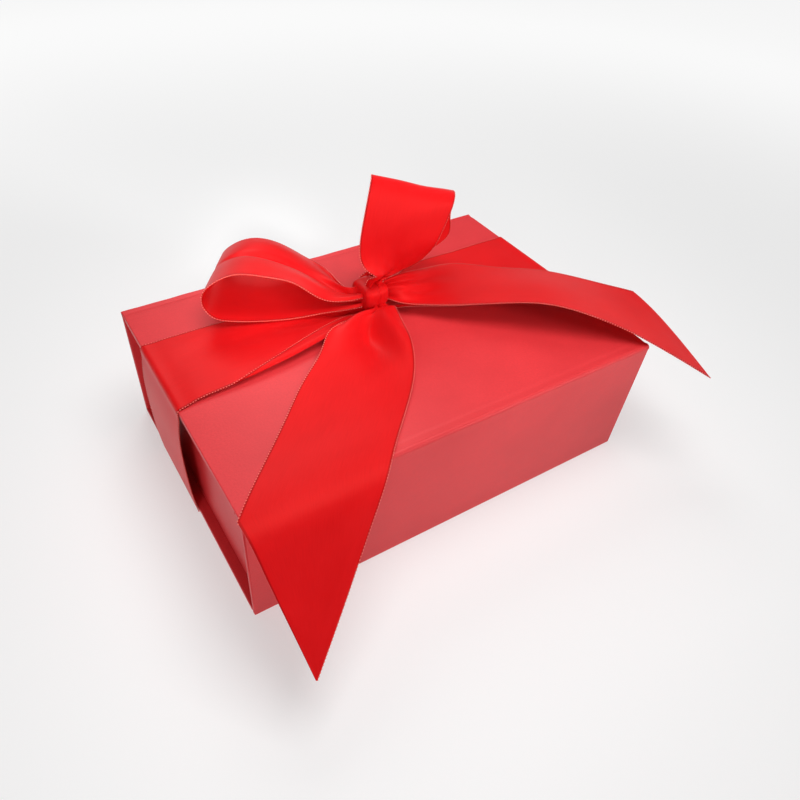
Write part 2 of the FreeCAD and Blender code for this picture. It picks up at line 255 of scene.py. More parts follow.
def satin(name, light_hex, dark_hex, edge_shade_hex):
    """Satin between two tones, with a line of painted shade in a third tone along each selvedge."""
    material, tree, shader = finish_of(name)
    place = add(tree, "ShaderNodeUVMap", uv_map="ribbon")
    stretched = add(tree, "ShaderNodeMapping", {"Vector": place.outputs["UV"],
                                                "Scale": (1 / thread_pitch, 1 / thread_run, 1)})
    threads = add(tree, "ShaderNodeTexNoise", {"Vector": stretched.outputs["Vector"], "Scale": 1.0,
                                               "Detail": 2.0})
    clouds = add(tree, "ShaderNodeTexNoise", {"Vector": place.outputs["UV"], "Scale": 1 / (22 * mm)})
    tone = add(tree, "ShaderNodeMath", {0: threads.outputs["Fac"], 1: clouds.outputs["Fac"]},
               operation="ADD")
    shades = add(tree, "ShaderNodeMapRange", {"Value": tone.outputs[0], "From Min": 0.6, "From Max": 1.4})
    dyed = add(tree, "ShaderNodeMix", {"Factor": shades.outputs["Result"], "A": linear(dark_hex),
                                       "B": linear(light_hex)}, data_type="RGBA")
    gloss = add(tree, "ShaderNodeMapRange", {"Value": threads.outputs["Fac"], "To Min": 0.36,
                                             "To Max": 0.5})
    relief = add(tree, "ShaderNodeBump", {"Height": threads.outputs["Fac"], "Strength": 0.12,
                                          "Distance": 0.1 * mm})
    axes = add(tree, "ShaderNodeSeparateXYZ", {"Vector": place.outputs["UV"]})
    off_middle = add(tree, "ShaderNodeMath", {0: axes.outputs["X"], 1: ribbon_width / 2 * mm},
                     operation="SUBTRACT")
    from_middle = add(tree, "ShaderNodeMath", {0: off_middle.outputs[0]}, operation="ABSOLUTE")
    # the mask of the painted shade along each selvedge
    edge = add(tree, "ShaderNodeMapRange", {"Value": from_middle.outputs[0],
                                            "From Min": painted_edge_shade[0] * mm,
                                            "From Max": painted_edge_shade[1] * mm})
    # mixes the painted selvedge shade into the dyed colour
    shade_edged = add(tree, "ShaderNodeMix", {"Factor": edge.outputs["Result"], "A": dyed.outputs["Result"],
                                        "B": linear(edge_shade_hex)}, data_type="RGBA")
    fill(tree, shader, {"Base Color": shade_edged.outputs["Result"], "Roughness": gloss.outputs["Result"],
                        "Normal": relief.outputs["Normal"], "IOR": 1.45, "Specular IOR Level": 0.4,
                        "Specular Tint": linear("#FF6A60"), "Subsurface Weight": 0.3,
                        "Subsurface Radius": (1.0, 0.08, 0.08), "Subsurface Scale": 0.5 * mm})
    return material


# the third colour is the painted shade along the selvedges
satin_ribbon = satin("double_faced_satin", "#E0181C", "#D41216", "#B0080E")
print("ribbon:", satin_ribbon.name, ribbon_width, "mm wide")

# %% [markdown]
# ### Small and hidden finishes
#
# The picots are loops of thread dyed like the satin; their paler colour is a painted highlight on the
# tiny beads. Greyboard is pulped waste paper with flecks. The corner tape is plain gummed kraft paper,
# and the magnets are nickel plated.

# %% Small and hidden finishes
def flecked(name, light_hex, dark_hex, fleck_size, roughness, metallic=0.0):
    """A finish with flecks of two tones, raised a little."""
    material, tree, shader = finish_of(name)
    place = add(tree, "ShaderNodeTexCoord")
    flecks = add(tree, "ShaderNodeTexNoise", {"Vector": place.outputs["Object"], "Scale": 1 / fleck_size,
                                              "Detail": 5.0})
    shades = add(tree, "ShaderNodeValToRGB", {"Fac": flecks.outputs["Fac"]})
    for stop, position, code in zip(shades.color_ramp.elements, (0.35, 0.65), (dark_hex, light_hex)):
        stop.position = position
        stop.color = linear(code)
    relief = add(tree, "ShaderNodeBump", {"Height": flecks.outputs["Fac"], "Strength": 0.1,
                                          "Distance": 0.1 * mm})
    fill(tree, shader, {"Base Color": shades.outputs["Color"], "Normal": relief.outputs["Normal"],
                        "Roughness": roughness, "Metallic": metallic})
    return material


# the picots' paler tones are a painted highlight on the beads
picot_thread = flecked("picot_thread", "#FF8A80", "#F5655E", 0.5 * mm, 0.7)
greyboard = flecked("greyboard", "#8C867C", "#6E685F", 0.8 * mm, 0.9)
kraft_tape = flecked("gummed_kraft_tape", "#C9A878", "#B08E5E", 1.2 * mm, 0.7)
nickel = flecked("nickel_plate", "#C8C6C2", "#BAB8B4", 2 * mm, 0.28, 1.0)
print("small finishes:", [finish.name for finish in (picot_thread, greyboard, kraft_tape, nickel)])

# %% Finishes on the CAD pieces
finishes = {"greyboard": greyboard, "wrapping_paper": wrapping_paper, "lining_paper": lining_paper,
            "corner_tape": kraft_tape, "magnet": nickel, "satin_ribbon": satin_ribbon}
for subpart in frame["record"]["subparts"]:
    node = frame["nodes"][subpart["node"]]
    node.data.materials.clear()
    node.data.materials.append(finishes[subpart["material_slot"]])
print("finishes:", sorted(finishes))

# %% [markdown]
# ## Paper panels
#
# Paper drawn tightly over board leaves no sharp edge: it turns over in a small round. Each wrapped panel
# of the case is one block with rounded edges, from the box of its CAD node. A Bevel modifier rounds it
# and keeps the flat faces flat. The panel stops just short of its lining, so that the lining lies on it
# as a sheet of its own.

# %% Tools for pieces
def new_piece(name, points, faces, material, body, uv=None, crisp=None):
    """A smooth mesh from points in millimetres, riding on a body. Edges past the crisp angle stay sharp."""
    mesh = bpy.data.meshes.new(name)
    mesh.from_pydata([tuple(p) for p in np.asarray(points, float) * mm], [], faces)
    if uv is not None:
        layer = mesh.uv_layers.new(name="ribbon")
        corners = np.zeros(len(mesh.loops), int)
        mesh.loops.foreach_get("vertex_index", corners)
        layer.data.foreach_set("uv", (np.asarray(uv, float) * mm)[corners].ravel())
    mesh.polygons.foreach_set("use_smooth", [True] * len(mesh.polygons))
    if crisp:
        mesh.set_sharp_from_angle(angle=math.radians(crisp))
    mesh.materials.append(material)
    piece = bpy.data.objects.new(name, mesh)
    show(piece)
    if body:
        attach(piece, body)
    return piece


# %% Tools for shapes
def round_edges(piece, radius):
    """Rounds the edges that carry a bevel weight, and leaves the faces between them flat."""
    bevel = piece.modifiers.new("paper_turn", "BEVEL")
    bevel.width = radius * mm
    bevel.segments = 4
    bevel.limit_method = "WEIGHT"
    bevel.harden_normals = True


def extents(node):
    """The low and high corners of a CAD node, in millimetres."""
    return [np.array(corner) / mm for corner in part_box(node)]


def joined_rings(count, total):
    """Faces of a closed tube through rings of count points, total points in all."""
    faces = [tuple(range(count))[::-1], tuple(range(total - count, total))]
    for first in range(0, total - count, count):
        for i in range(count):
            k = (i + 1) % count
            faces.append((first + i, first + k, first + count + k, first + count + i))
    return faces


def drawn_out(outline, stations):
    """A closed (y, z) outline, drawn along stations: each its place along X and how far it is let down."""
    points = [(x, y, z - let_down) for x, let_down in stations for y, z in outline]
    return points, joined_rings(len(outline), len(points))


# %% Panels of the case
paper_turn = 0.6
shy = 0.1  # how far a panel stays under its lining
lid_low, lid_high = extents("lid_wrap")
half_length, half_width, lid_top = lid_high
fold_round = 1.85  # of the paper over the hinges
panel_top = lid_top - fold_round


def wrapped_block(name, low, high, body, node, plain=()):
    """A panel with rounded edges. The plain corners, counted from low Y and Z, stay sharp."""
    outline = [(low[1], low[2]), (high[1], low[2]), (high[1], high[2]), (low[1], high[2])]
    points, faces = drawn_out(outline, [(-half_length, 0), (half_length, 0)])
    piece = new_piece(name, points, faces, wrapping_paper, body)
    rounded = piece.data.attributes.new("bevel_weight_edge", "FLOAT", "EDGE")
    sharp = piece.data.attributes.new("sharp_edge", "BOOLEAN", "EDGE")
    for edge in piece.data.edges:
        near, far = sorted(edge.vertices)
        stays = far - near == len(outline) and near in plain
        rounded.data[edge.index].value = 0.0 if stays else 1.0
        sharp.data[edge.index].value = stays
    round_edges(piece, paper_turn)
    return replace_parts(piece, node)


base_low, base_high = extents("base_wrap")
spine_low, spine_high = extents("spine_wrap")
flap_low, flap_high = extents("flap_wrap")
wrapped_block("base_panel", base_low, (0, spine_high[1], base_high[2]), "base", "base_wrap")
wrapped_block("spine_panel", spine_low, (0, spine_high[1], panel_top), "base", "spine_wrap", plain=(2,))
wrapped_block("flap_panel", flap_low, (0, flap_high[1] - shy, panel_top), "flap", "flap_wrap", plain=(3,))
print("panels up to", round(panel_top, 2), "mm")

# %% [markdown]
# ### Board at the hinges
#
# The boards of the flap and the spine stop a little below the hinge, so that the paper can fold round it.
# They end inside their panels, under the round of the paper, and stay hidden when the hinge opens.

# %% Board at the hinges
def hinge_board(name, node, body):
    """A board of its CAD node's length and thickness, cut off below the round of the paper."""
    low, high = extents(node)
    top = panel_top - paper_turn
    outline = [(low[1], low[2]), (high[1], low[2]), (high[1], top), (low[1], top)]
    points, faces = drawn_out(outline, [(low[0], 0), (high[0], 0)])
    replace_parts(new_piece(name, points, faces, greyboard, body, crisp=30), node)


hinge_board("flap_core", "flap_board", "flap")
hinge_board("spine_core", "spine_board", "base")
print("boards up to", round(panel_top - paper_turn, 2), "mm")

# %% [markdown]
# ### The lid and its hinge bands
#
# The lid board is narrower than the box. Past it the paper has no board under it. It sinks a little
# beside the board and rises again to the flap: that is the lighter band along the front edge. The section
# of the lid is drawn once and drawn out along the box, and it is let down at the two ends, where the
# paper turns over the board.

# %% The lid
groove = 0.2  # depth of the pressed hinge
groove_width = 2.0
band_paper = 0.2  # thickness where no board is under it
end_turn = 0.5  # round of the paper at the two ends
board_edge = extents("lid_board")[1][1]
fold_start = half_width - fold_round

band_y = np.linspace(board_edge, fold_start, 15)
into = np.clip((band_y - board_edge) / groove_width, 0, 1)
out_of = np.clip((band_y - board_edge - groove_width) / (fold_start - board_edge - groove_width), 0, 1)
dip = groove * into * into * (3 - 2 * into) * (1 - out_of)
right_top = list(zip(band_y, lid_top - dip))
right_under = [(y, z - band_paper) for y, z in right_top[::-1]]
right_half = right_top + right_under + [(board_edge, lid_low[2] + shy)]
left_half = [(-y, z) for y, z in right_half[::-1]]
turn_steps = end_turn * np.array([0, 0.1, 0.3, 0.6, 1])
fall = end_turn - np.sqrt(end_turn ** 2 - (end_turn - turn_steps) ** 2)
left_end = list(zip(turn_steps - half_length, fall))
stations = left_end + [(-x, let_down) for x, let_down in left_end[::-1]]
points, faces = drawn_out((right_half + left_half)[::-1], stations)
lid_panel = new_piece("lid_panel", points, faces, wrapping_paper, "lid", crisp=40)
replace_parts(lid_panel, "lid_wrap")
print("bare band from", round(board_edge, 2), "to", round(fold_start, 2), "mm")

# %% [markdown]
# ### The folds
#
# At both long top edges the paper turns from the lid down to the flap and to the spine. Each fold is a
# strip of paper bent round the edge, made in place and fixed to no body. Handling has crushed
# the paper a little, which a slow waviness along the edge shows. A rounded edge on the lid alone would be
# simpler, but it would tear open there.

# %% The folds
tuck = 0.9  # how far a fold reaches under the paper on both sides
tuck_depth = 0.12  # and how deep it lies there
crushed = 0.06


def paper_fold(name, side):
    """A bent strip of paper round one long top edge."""
    outer = [(fold_start - tuck, lid_top - tuck_depth), (fold_start, lid_top - 0.02)]
    for angle in np.radians(np.linspace(80, 0, 9)):
        outer.append((fold_start + fold_round * math.cos(angle), panel_top + fold_round * math.sin(angle)))
    outer.append((half_width - tuck_depth, panel_top - tuck))
    ring = outer + [(y - band_paper, z - band_paper) for y, z in outer[::-1]]
    columns = np.linspace(-half_length, half_length, 161)
    crush = crushed + crushed * np.sin(columns * 0.31) * np.sin(columns * 0.11 + 1.0)
    points = [(x, side * (y - c), z - c) for x, c in zip(columns, crush) for y, z in ring]
    faces = joined_rings(len(ring), len(points))
    if side > 0:
        faces = [face[::-1] for face in faces]
    piece = new_piece(name, points, faces, wrapping_paper, None, crisp=50)
    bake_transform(piece)


paper_fold("front_fold", -1)
paper_fold("back_fold", 1)
print("round of the folds:", fold_round, "mm")

# %% [markdown]
# ### The tray
#
# The tray is glued to the base and the spine and stands back from the ends of the case. It is wrapped
# inside and out in the same paper, over its rim. Five boards would each need their own paper, so it is
# one shell: four level rings, up the outside, over the rim and down the inside.

# %% The tray
tray_low, tray_high = extents("tray_wrap")
wall = 2.65  # paper, tape, board and paper
tray_floor = extents("tray_floor")[1][2]


def ring_of(x_half, y_low, y_high, z):
    """The four corners of a level outline."""
    return [(-x_half, y_low, z), (x_half, y_low, z), (x_half, y_high, z), (-x_half, y_high, z)]


outside = (tray_high[0], tray_low[1], tray_high[1])
inside = (tray_high[0] - wall, tray_low[1] + wall, tray_high[1] - wall)
rings = [ring_of(*outside, tray_low[2]), ring_of(*outside, tray_high[2]),
         ring_of(*inside, tray_high[2]), ring_of(*inside, tray_floor)]
points = [p for ring in rings for p in ring]
faces = joined_rings(len(rings[0]), len(points))
tray_shell = new_piece("tray_shell", points, faces, wrapping_paper, "base")
rounded = tray_shell.data.attributes.new("bevel_weight_edge", "FLOAT", "EDGE")
rounded.data.foreach_set("value", [1.0] * len(tray_shell.data.edges))
round_edges(tray_shell, paper_turn)
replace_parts(tray_shell, "tray_wrap")

# %% [markdown]
# ## The ribbon
#
# Each run of ribbon is set out as a row of stations, in millimetres from the knot's seat on the lid:
# where the middle is, which way the ribbon lies across, and how wide it is there. Both selvedges are
# smooth curves through the stations, and the ribbon is stretched between them. Where the ribbon is drawn
# together at the knot, the width that is left over goes into pleats. Single dents and ridges are added
# one by one, where the photo shows them. A cloth simulation could drape a ribbon too, but it wouldn't
# settle into this one bow.

# %% Tools for the ribbon
ribbon_thick = 0.4
knot_low, knot_high = extents("ribbon_knot")
knot_middle = (knot_low + knot_high) / 2
knot_size = knot_high - knot_low
seat = np.array([knot_middle[0], knot_middle[1], lid_top])
gathered = 10.0  # width of the pleated ribbon at the knot
row_pitch = 1.2  # mm from row to row of the mesh
column_count = 49
print("seat of the knot in mm:", seat.round(1))


def curve_through(places, values, wanted):
    """A natural cubic through the rows of values at the places, read at the wanted places."""
    step = np.diff(places)
    slope = np.diff(values, axis=0) / step[:, None]
    system = np.eye(len(places))
    right = np.zeros_like(values)
    for i in range(1, len(places) - 1):
        system[i, i - 1:i + 2] = step[i - 1], 2 * (step[i - 1] + step[i]), step[i]
        right[i] = 6 * (slope[i] - slope[i - 1])
    bend = np.linalg.solve(system, right)
    k = np.clip(np.searchsorted(places, wanted) - 1, 0, len(step) - 1)
    run = (wanted - places[k])[:, None]
    whole = step[k][:, None]
    first = slope[k] - whole * (2 * bend[k] + bend[k + 1]) / 6
    third = (bend[k + 1] - bend[k]) / (6 * whole)
    return values[k] + run * first + run ** 2 * bend[k] / 2 + run ** 3 * third


# %% Stations, and the ribbon between its selvedges
def tilted(across, degrees):
    """A level direction, tilted so that its far end rises by that angle."""
    angle = math.radians(degrees)
    level = np.array(across, float)
    return level / np.linalg.norm(level) * math.cos(angle) + np.array([0, 0, math.sin(angle)])


def root(point, leaving, across):
    """Two stations where the pleated ribbon leaves the knot, one inside it and one outside."""
    leaving = np.array(leaving, float)
    return [(point + step * leaving, across, gathered) for step in (-3, 2)]


def ribbon_grid(stations, end_of=None):
    """Points, distances along and shares across, of a ribbon between smooth selvedges.

    end_of gives the share of the length at which each column stops, for a slanted cut.
    """
    centres = np.array([s[0] for s in stations], float)
    half = np.array([np.array(s[1], float) / np.linalg.norm(s[1]) * s[2] / 2 for s in stations])
    places = np.concatenate([[0], np.cumsum(np.linalg.norm(np.diff(centres, axis=0), axis=1))])
    rows = int(places[-1] / row_pitch) + 1
    share = np.linspace(0, 1, column_count)
    stop = np.array([end_of(u) for u in share]) if end_of else np.ones(column_count)
    along = np.linspace(0, 1, rows)[:, None] * stop[None, :] * places[-1]
    front = curve_through(places, centres - half, along.ravel())
    back = curve_through(places, centres + half, along.ravel())
    u = np.tile(share, rows)[:, None]
    grid = (front * (1 - u) + back * u).reshape(rows, column_count, 3)
    return grid, along, np.tile(share, (rows, 1))


# %% Pleats and dents
def normals_of(grid):
    """The direction that each point of the ribbon faces."""
    normal = np.cross(np.gradient(grid, axis=0), np.gradient(grid, axis=1))
    return normal / np.maximum(np.linalg.norm(normal, axis=2, keepdims=True), 1e-9)


def pleat(grid, along, share, depth, waves):
    """Pushes the drawn-in rows into pleats: each wave has a count across, a phase and a strength."""
    width = np.linalg.norm(grid[:, -1] - grid[:, 0], axis=1) / ribbon_width
    drawn = np.clip(1.0 - width, 0, 1)[:, None]
    wave = sum(strength * np.cos(2 * math.pi * count * share + phase + 0.02 * along)
               for count, phase, strength in waves)
    return grid + normals_of(grid) * (wave * drawn * depth)[:, :, None]


def dent(grid, along, share, marks):
    """Soft ridges and hollows: distance along, its reach, share across, its spread, and the depth."""
    push = sum(depth * np.exp(-((along - middle) / reach) ** 2 - ((share - across) / spread) ** 2)
               for middle, reach, across, spread, depth in marks)
    return grid + normals_of(grid) * push[:, :, None]


# %% [markdown]
# A piece of ribbon is a closed mesh of two layers and a rim, as thick as the satin. Its rim stays sharp,
# so that light falls evenly up to the selvedge. A Solidify modifier could thicken a single layer too, but
# the front tail is parted in two, and both parts have to face the same way along their seam. The
# selvedges are kept for the picots.

# %% A piece of ribbon
selvedges = {}


def ribbon_piece(name, grid, along, share, body, *nodes, picots=(0, -1), normals=None):
    """A run of satin that replaces its CAD nodes. picots names the columns that are selvedges."""
    rows, columns = share.shape
    out = (normals_of(grid) if normals is None else normals) * ribbon_thick / 2
    layer = rows * columns
    index = np.arange(layer).reshape(rows, columns)
    top = np.stack([index[:-1, :-1], index[1:, :-1], index[1:, 1:], index[:-1, 1:]], axis=-1).reshape(-1, 4)
    border = np.concatenate([index[0, :-1], index[:-1, -1], index[-1, :0:-1], index[:0:-1, 0]])
    ahead = np.roll(border, -1)
    rim = np.stack([border, ahead, ahead + layer, border + layer], axis=-1)
    faces = np.concatenate([top, top[:, ::-1] + layer, rim]).tolist()
    points = np.concatenate([(grid + out).reshape(-1, 3), (grid - out).reshape(-1, 3)])
    uv = np.stack([share.ravel() * ribbon_width, along.ravel()], axis=1)
    piece = new_piece(name, points, faces, satin_ribbon, body, np.concatenate([uv, uv]),
                      crisp=60)
    selvedges[name] = [grid[:, column] for column in picots]
    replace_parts(piece, *nodes)
    steps = np.diff(grid[:, columns // 2], axis=0)
    print(name, "length in mm:", round(np.linalg.norm(steps, axis=1).sum(), 1))
    return piece


# %% [markdown]
# ### Round the box
#
# The ribbon lies flat on the left end of the lid, then its front margin lifts and folds over on itself as
# the knot draws it together. The selvedge then lies on top, a few millimetres behind the fold. At both
# ends the ribbon turns over the lid's edge and hangs down in a shallow bow to the base.

# %% The path round the box
under_low, under_high = extents("ribbon_under")
ribbon_y = (under_low[1] + under_high[1]) / 2
front_y = ribbon_y - ribbon_width / 2
back_y = ribbon_y + ribbon_width / 2
flat_z = lid_top + 0.7  # clear of the flap, which stands a little higher than the lid when it is open
end_x = half_length + 0.5
bulge = 2.0  # how far a drop bows out
foot_z = 0.5


def level_station(x, y_front, y_back, z_front, z_back):
    """A station from its two selvedges."""
    front = np.array([x, y_front, z_front])
    back = np.array([x, y_back, z_back])
    return (front + back) / 2, back - front, np.linalg.norm(back - front)


def drop(side):
    """Stations up one end, from the base to the edge of the lid."""
    rows = [  # distance out from the end, height
        (0, foot_z),
        (0.6, 6),
        (bulge, lid_top / 2),
        (0.7, lid_top - 9),
        (0.05, lid_top - 2.2),
        (0, lid_top - 0.6),
    ]
    return [level_station(side * (end_x + out), front_y, back_y, z, z) for out, z in rows]


knot_x = seat[0]
over_lid = [  # X, Y of the front and the back selvedge, Z of both
    (-end_x + 0.9, front_y, back_y, flat_z - 0.1, flat_z - 0.1),
    (-end_x + 3, front_y + 0.4, back_y, flat_z + 0.2, flat_z),
    (-end_x + 10, front_y + 1.8, back_y, flat_z + 0.8, flat_z),
    (-end_x + 20, front_y + 2.6, back_y, flat_z + 1.4, flat_z),
    (knot_x - 80, front_y + 3.4, back_y, flat_z + 2, flat_z),
    (knot_x - 66, front_y + 4.8, back_y - 0.5, flat_z + 2.8, flat_z),
    (knot_x - 46, front_y + 8, back_y - 2.5, flat_z + 3.6, flat_z + 0.2),
    (knot_x - 26, ribbon_y - 12, ribbon_y + 14, flat_z + 3.2, flat_z + 0.8),
    (knot_x - 9, ribbon_y - 7.5, ribbon_y + 7.5, flat_z + 1.2, flat_z + 1.2),
    (knot_x + 9, ribbon_y - 7, ribbon_y + 7, flat_z + 1.2, flat_z + 1.2),
    (knot_x + 28, ribbon_y - 14, ribbon_y + 18, flat_z + 0.8, flat_z + 0.8),
    (knot_x + 50, front_y + 2, back_y, flat_z + 0.3, flat_z + 0.3),
    (knot_x + 70, front_y, back_y, flat_z, flat_z),
    (end_x - 10, front_y, back_y, flat_z, flat_z),
    (end_x - 3, front_y, back_y, flat_z, flat_z),
    (end_x - 0.9, front_y, back_y, flat_z - 0.1, flat_z - 0.1),
]
stations = drop(-1) + [level_station(*row) for row in over_lid] + drop(1)[::-1]
grid, along, share = ribbon_grid(stations)
print("round the box:", len(stations), "stations,", grid.shape[0], "rows")

# %% [markdown]
# The folded margin is made by moving the columns of the mesh. The first few columns cover the margin, and
# the fold lies exactly on one of them, so its edge is clean. What lies before the fold is turned back
# over the rest.

# %% The folded margin
turned = 12.0  # widest part of the margin
fold_from, fold_to = knot_x - 86, knot_x - 18
margin_columns = 8
hem = 0.8  # the margin's columns stay this wide where nothing is folded
fold_bend = 1.5  # width in which the margin rises over the fold
lay_over = 0.8  # height of the margin above the ribbon that it lies on
plain_end = 12  # no pleats this near the ends of the lid
open_from = knot_x - 5  # under the knot nothing is folded
open_over = 8  # and the fold runs out in this length

x_here = grid[:, :1, 0]
over = turned * np.clip((x_here - fold_from) / (fold_to - fold_from), 0, 1) ** 1.2
over *= np.clip((open_from - x_here) / open_over, 0, 1)
fold_at = np.maximum(over, hem)
column = np.arange(column_count)[None, :]
rest = (column - margin_columns) / (column_count - 1 - margin_columns)
cloth = np.where(column <= margin_columns, fold_at * column / margin_columns,
                 fold_at + (ribbon_width - fold_at) * rest)
new_share = np.abs(cloth - over) / (ribbon_width - over)
above = np.clip((over - cloth) / fold_bend, 0, 1)
lift = lay_over * above * above * (3 - 2 * above)
grid = grid[:, :1] * (1 - new_share[:, :, None]) + grid[:, -1:] * new_share[:, :, None]
grid = grid + np.array([0, 0, 1.0]) * lift[:, :, None]
near_lid = (np.abs(grid[:, :, 0]) < half_length + 0.2) & (grid[:, :, 2] > lid_top - 3)
drawn = pleat(grid, along, new_share, 1.1, [(2, 0.4, 0.8), (3, 1.7, 0.5)])
drawn[:, :, 2] = np.maximum(drawn[:, :, 2], lid_top + ribbon_thick)
grid = np.where(near_lid[:, :, None] & (np.abs(grid[:, :, :1]) < end_x - plain_end), drawn, grid)
round_box = ribbon_piece("ribbon_round_box", grid, along, cloth / ribbon_width, "ribbon", "ribbon_band",
                         "ribbon_left_drop", "ribbon_right_drop")

# %% [markdown]
# Under the base the ribbon is pressed flat by the weight of the box. It is a plain strip, and a piece of
# its own, because the lid lifts the rest of the ribbon off it.

# %% Under the box
under_z = ribbon_thick / 2
stations = [level_station(x, under_low[1], under_high[1], under_z, under_z)
            for x in np.linspace(-half_length, half_length, 6)]
under_box = ribbon_piece("ribbon_under_box", *ribbon_grid(stations), "ribbon_under", "ribbon_under")

# %% [markdown]
# ### The left loop
#
# The loop lies to the left and back with its mouth to the front. It leaves the knot in pleats, rises to a
# crest, turns and comes back along the lid. A ridge runs from the knot to the crest. Its stations are set
# out along the way it heads, so that the whole loop can be turned by one angle.

# %% The left loop
heading = math.radians(29)  # back from -X
out_way = np.array([-math.cos(heading), math.sin(heading), 0])
skew = math.radians(4)  # the ribbon's threads lie a little askew to the loop
across_way = np.array([math.sin(heading + skew), math.cos(heading + skew), 0])
left_rows = [  # distance out, offset across, height, share of the width, tilt
    (22, 4, 11.5, 0.6, -6),
    (36, 10, 16.4, 0.92, -16),
    (50, 9, 23.2, 1, -13),
    (63, 8, 25.8, 1, -11),
    (73.4, 7, 22.3, 1, -10),
    (80.2, 6, 14.2, 1, -8),
    (77.2, 6, 7.5, 1, -4),
    (67.5, 7, 4.6, 1, -1),
    (52, 9, 3.8, 1, 0),
    (35, 10, 4, 0.92, 0),
    (21, 4, 5.6, 0.6, -2),
]
left_face = seat + np.array([-knot_size[0] / 2, 1, 0])
leaves_at, returns_at = 12.5, 7.2  # heights on the knot
stations = [(seat + out_way * out + across_way * offset + np.array([0, 0, height]),
             tilted(across_way, tilt), part * ribbon_width)
            for out, offset, height, part, tilt in left_rows]
upper = root(left_face + np.array([0, 0, leaves_at]), (-1, 0, 0), (0, 1, 0))
lower = root(left_face + np.array([0, 0, returns_at]), (-1, 0, 0), (0, 1, 0))
grid, along, share = ribbon_grid(upper + stations + lower[::-1])
grid = pleat(grid, along, share, 2.0, [(2, 0.6, 0.7), (3, 2.0, 0.4)])
ridge = [(38, 22, 0.56, 0.06, 1.2), (60, 16, 0.58, 0.045, 1.8), (50, 22, 0.56, 0.14, 0.8)]
hollow = [(28, 14, 0.28, 0.14, -1.0), (44, 20, 0.84, 0.16, -1.4)]
grid = dent(grid, along, share, ridge + hollow)
left_loop = ribbon_piece("ribbon_left_loop_satin", grid, along, share, "ribbon", "ribbon_left_loop")

# %% [markdown]
# ### The top loop
#
# The second loop stands up from the knot and leans to the right, with its flat face to the front. Its
# left selvedge rises straight from the knot and the right one fans out, so a strip of the back layer
# shows beside the front one.

# %% The top loop
top_rows = [  # middle from the knot's seat, share of the width, tilt, turn to the back
    (12, -2.4, 20.5, 0.7, -18, 0.45),
    (12.2, -5, 27, 0.8, -7, 0.15),
    (11.4, -6, 33, 0.86, -3, 0),
    (13.2, -6, 44, 0.98, -4, 0),
    (17.4, -4, 56, 1.02, -10, 0),
    (21.8, 1, 61.8, 1.03, -19, 0),
    (26.2, 8, 58.8, 1.02, -20, 0),
    (33, 14, 47, 1, -12, 0),
    (33.6, 16, 33, 1, -6, 0),
    (35, 16, 21, 0.96, -4, 0),
    (22, 14, 13, 0.6, 0, 0),
]
stations = [(seat + np.array([x, y, z]), tilted((1, back, 0), tilt), part * ribbon_width)
            for x, y, z, part, tilt, back in top_rows]
crown = root(seat + np.array([1, -3, knot_high[2] - lid_top]), (0, 0, 1), (1, 0, 0))
behind = root(seat + np.array([3, knot_size[1] / 2, 8]), (0, 1, 0), (1, 0, 0))
grid, along, share = ribbon_grid(crown + stations + behind[::-1])
grid = pleat(grid, along, share, 2.0, [(2, 1.0, 0.6), (4, 0.2, 0.4)])
grid = dent(grid, along, share, [(22, 14, 0.5, 0.12, 1.0), (64, 14, 0.62, 0.2, 0.6)])
top_loop = ribbon_piece("ribbon_top_loop_satin", grid, along, share, "ribbon", "ribbon_top_loop")

# %% [markdown]
# ### The front tail
#
# The front tail lies over the lid to its front left corner, hollow near the knot and with its right
# margin curled up. Its slant-cut end falls past the edge. It is shaped as one, and then parted at the
# edge of the lid: the end is limp, and it is a piece with a mesh of its own.

# %% The front tail
tail_slope = 0.94  # X to the left for each millimetre to the front
tail_wide = ribbon_width * math.hypot(1, tail_slope)
tail_rows = [  # middle from the knot's seat, share of the width
    (-10, -14, 9.5, 0.44),
    (-19.5, -25, 8, 0.64),
    (-28.6, -37, 5.6, 0.81),
    (-40.4, -52, 3.2, 0.95),
    (-56.6, -69, 1.7, 1),
]
along_x = (1, 0, 0)
stations = root(seat + np.array([-0.5, -knot_size[1] / 2, 7]), (0, -1, 0), along_x)
stations += [(seat + np.array([x, y, z]), along_x, part * tail_wide) for x, y, z, part in tail_rows]
edge_low, edge_high = (end[0] for end in extents("ribbon_front_tail_end"))
edge_z = lid_top + 0.8
tip_x = edge_low + 5.3
fall_rows = np.array([  # distance out from the lid, fall, share of the way to the tip
    (0, 0, 0),
    (6, 1.4, 0.09),
    (18, 11, 0.32),
    (34, 25.5, 0.64),
    (51, 41, 0.99),
])
for out, fall, part in fall_rows:
    middle_x = edge_high + (tip_x - edge_high) * part - tail_wide / 2
    stations.append((np.array([middle_x, -half_width - out, edge_z - fall]), along_x, tail_wide))
grid, along, share = ribbon_grid(stations)
grid = pleat(grid, along, share, 1.6, [(2, 2.2, 0.6), (3, 0.5, 0.5)])
crest = [(15, 8, 0.66, 0.1, 1.6), (25, 9, 0.78, 0.1, 3.0), (35, 10, 0.88, 0.1, 3.2),
         (47, 12, 0.96, 0.1, 2.6), (62, 14, 1.0, 0.1, 1.2)]
valley = [(14, 8, 0.4, 0.25, 1.4), (27, 12, 0.6, 0.16, -6.0), (42, 12, 0.72, 0.14, -2.6)]
grid = dent(grid, along, share, crest + valley)
print("front tail:", len(stations), "stations,", grid.shape[0], "rows")

